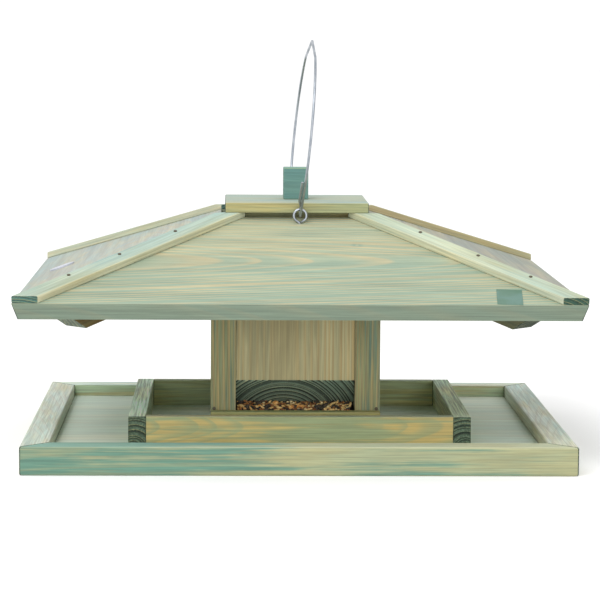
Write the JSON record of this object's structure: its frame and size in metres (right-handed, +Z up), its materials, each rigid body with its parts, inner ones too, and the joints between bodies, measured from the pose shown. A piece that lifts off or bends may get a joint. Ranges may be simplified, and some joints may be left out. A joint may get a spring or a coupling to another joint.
{
  "type": "hanging bird table",
  "caption": "Wooden hanging bird table: framed tray with an inner tray, central seed hopper, hipped roof with lift-off ridge lid, and a swinging wire bail.",
  "frame": {"origin": "centre of the underside of the tray's outline, at the level of the surface it stands on", "axes": "+Z up, -Y towards the front, +X to the right as seen from the front, along the longer side of the tray"},
  "size_m": [0.603, 0.531, 0.4564],
  "materials": {
    "rail_wood": "satin green-stained softwood",
    "floor_wood": "satin green-stained softwood board",
    "inner_wood": "satin green-stained softwood",
    "post_wood": "satin green-stained softwood",
    "wall_wood": "satin tan-green softwood",
    "roof_wood": "satin green-stained softwood",
    "batten_wood": "satin green-stained softwood",
    "rafter_wood": "sawn softwood",
    "lid_wood": "satin green-stained softwood",
    "knob_wood": "dark green-stained end grain",
    "seed": "loose mixed seed",
    "zinc_wire": "galvanised",
    "nail_steel": "dull zinc",
    "label_plastic": "printed film, blank",
    "tag_plastic": "pale, blank"
  },
  "bodies": {
    "feeder": {"tray_front_rail": "rail_wood", "inner_front_rail": "inner_wood", "roof_front_panel": "roof_wood", "hopper_front_board": "wall_wood", "tray_back_rail": "rail_wood", "inner_back_rail": "inner_wood", "roof_back_panel": "roof_wood", "hopper_back_board": "wall_wood", "tray_left_rail": "rail_wood", "inner_left_rail": "inner_wood", "roof_left_panel": "roof_wood", "hopper_left_board": "wall_wood", "tray_right_rail": "rail_wood", "inner_right_rail": "inner_wood", "roof_right_panel": "roof_wood", "hopper_right_board": "wall_wood", "tray_floor": "floor_wood", "front_left_post": "post_wood", "front_left_batten": "batten_wood", "front_left_rafter": "rafter_wood", "front_right_post": "post_wood", "front_right_batten": "batten_wood", "front_right_rafter": "rafter_wood", "front_sill": "inner_wood", "front_screw_eye": "zinc_wire", "back_left_post": "post_wood", "back_left_batten": "batten_wood", "back_left_rafter": "rafter_wood", "back_right_post": "post_wood", "back_right_batten": "batten_wood", "back_right_rafter": "rafter_wood", "back_sill": "inner_wood", "back_screw_eye": "zinc_wire", "seed_fill": "seed", "batten_nails": "nail_steel", "tray_nails": "nail_steel", "post_nails": "nail_steel", "floor_screws": "nail_steel", "blank_label": "label_plastic", "round_tag": "tag_plastic"},
    "lid": {"lid_board": "lid_wood", "lid_knob": "knob_wood", "lid_front_cleat": "lid_wood", "lid_back_cleat": "lid_wood", "knob_screw": "nail_steel"},
    "bail": {"bail_wire": "zinc_wire"}
  },
  "joints": [
    {"name": "lid_lift", "type": "slide", "parent": "feeder", "child": "lid", "axis": [0, 0, 1], "range_m": [0, 0.1]},
    {"name": "bail_swing", "type": "hinge", "parent": "feeder", "child": "bail", "pos_m": [-0.001, 0, 0.2623], "axis": [-0.0558, 0.9984, 0], "range_deg": [-97, 86]}
  ]
}
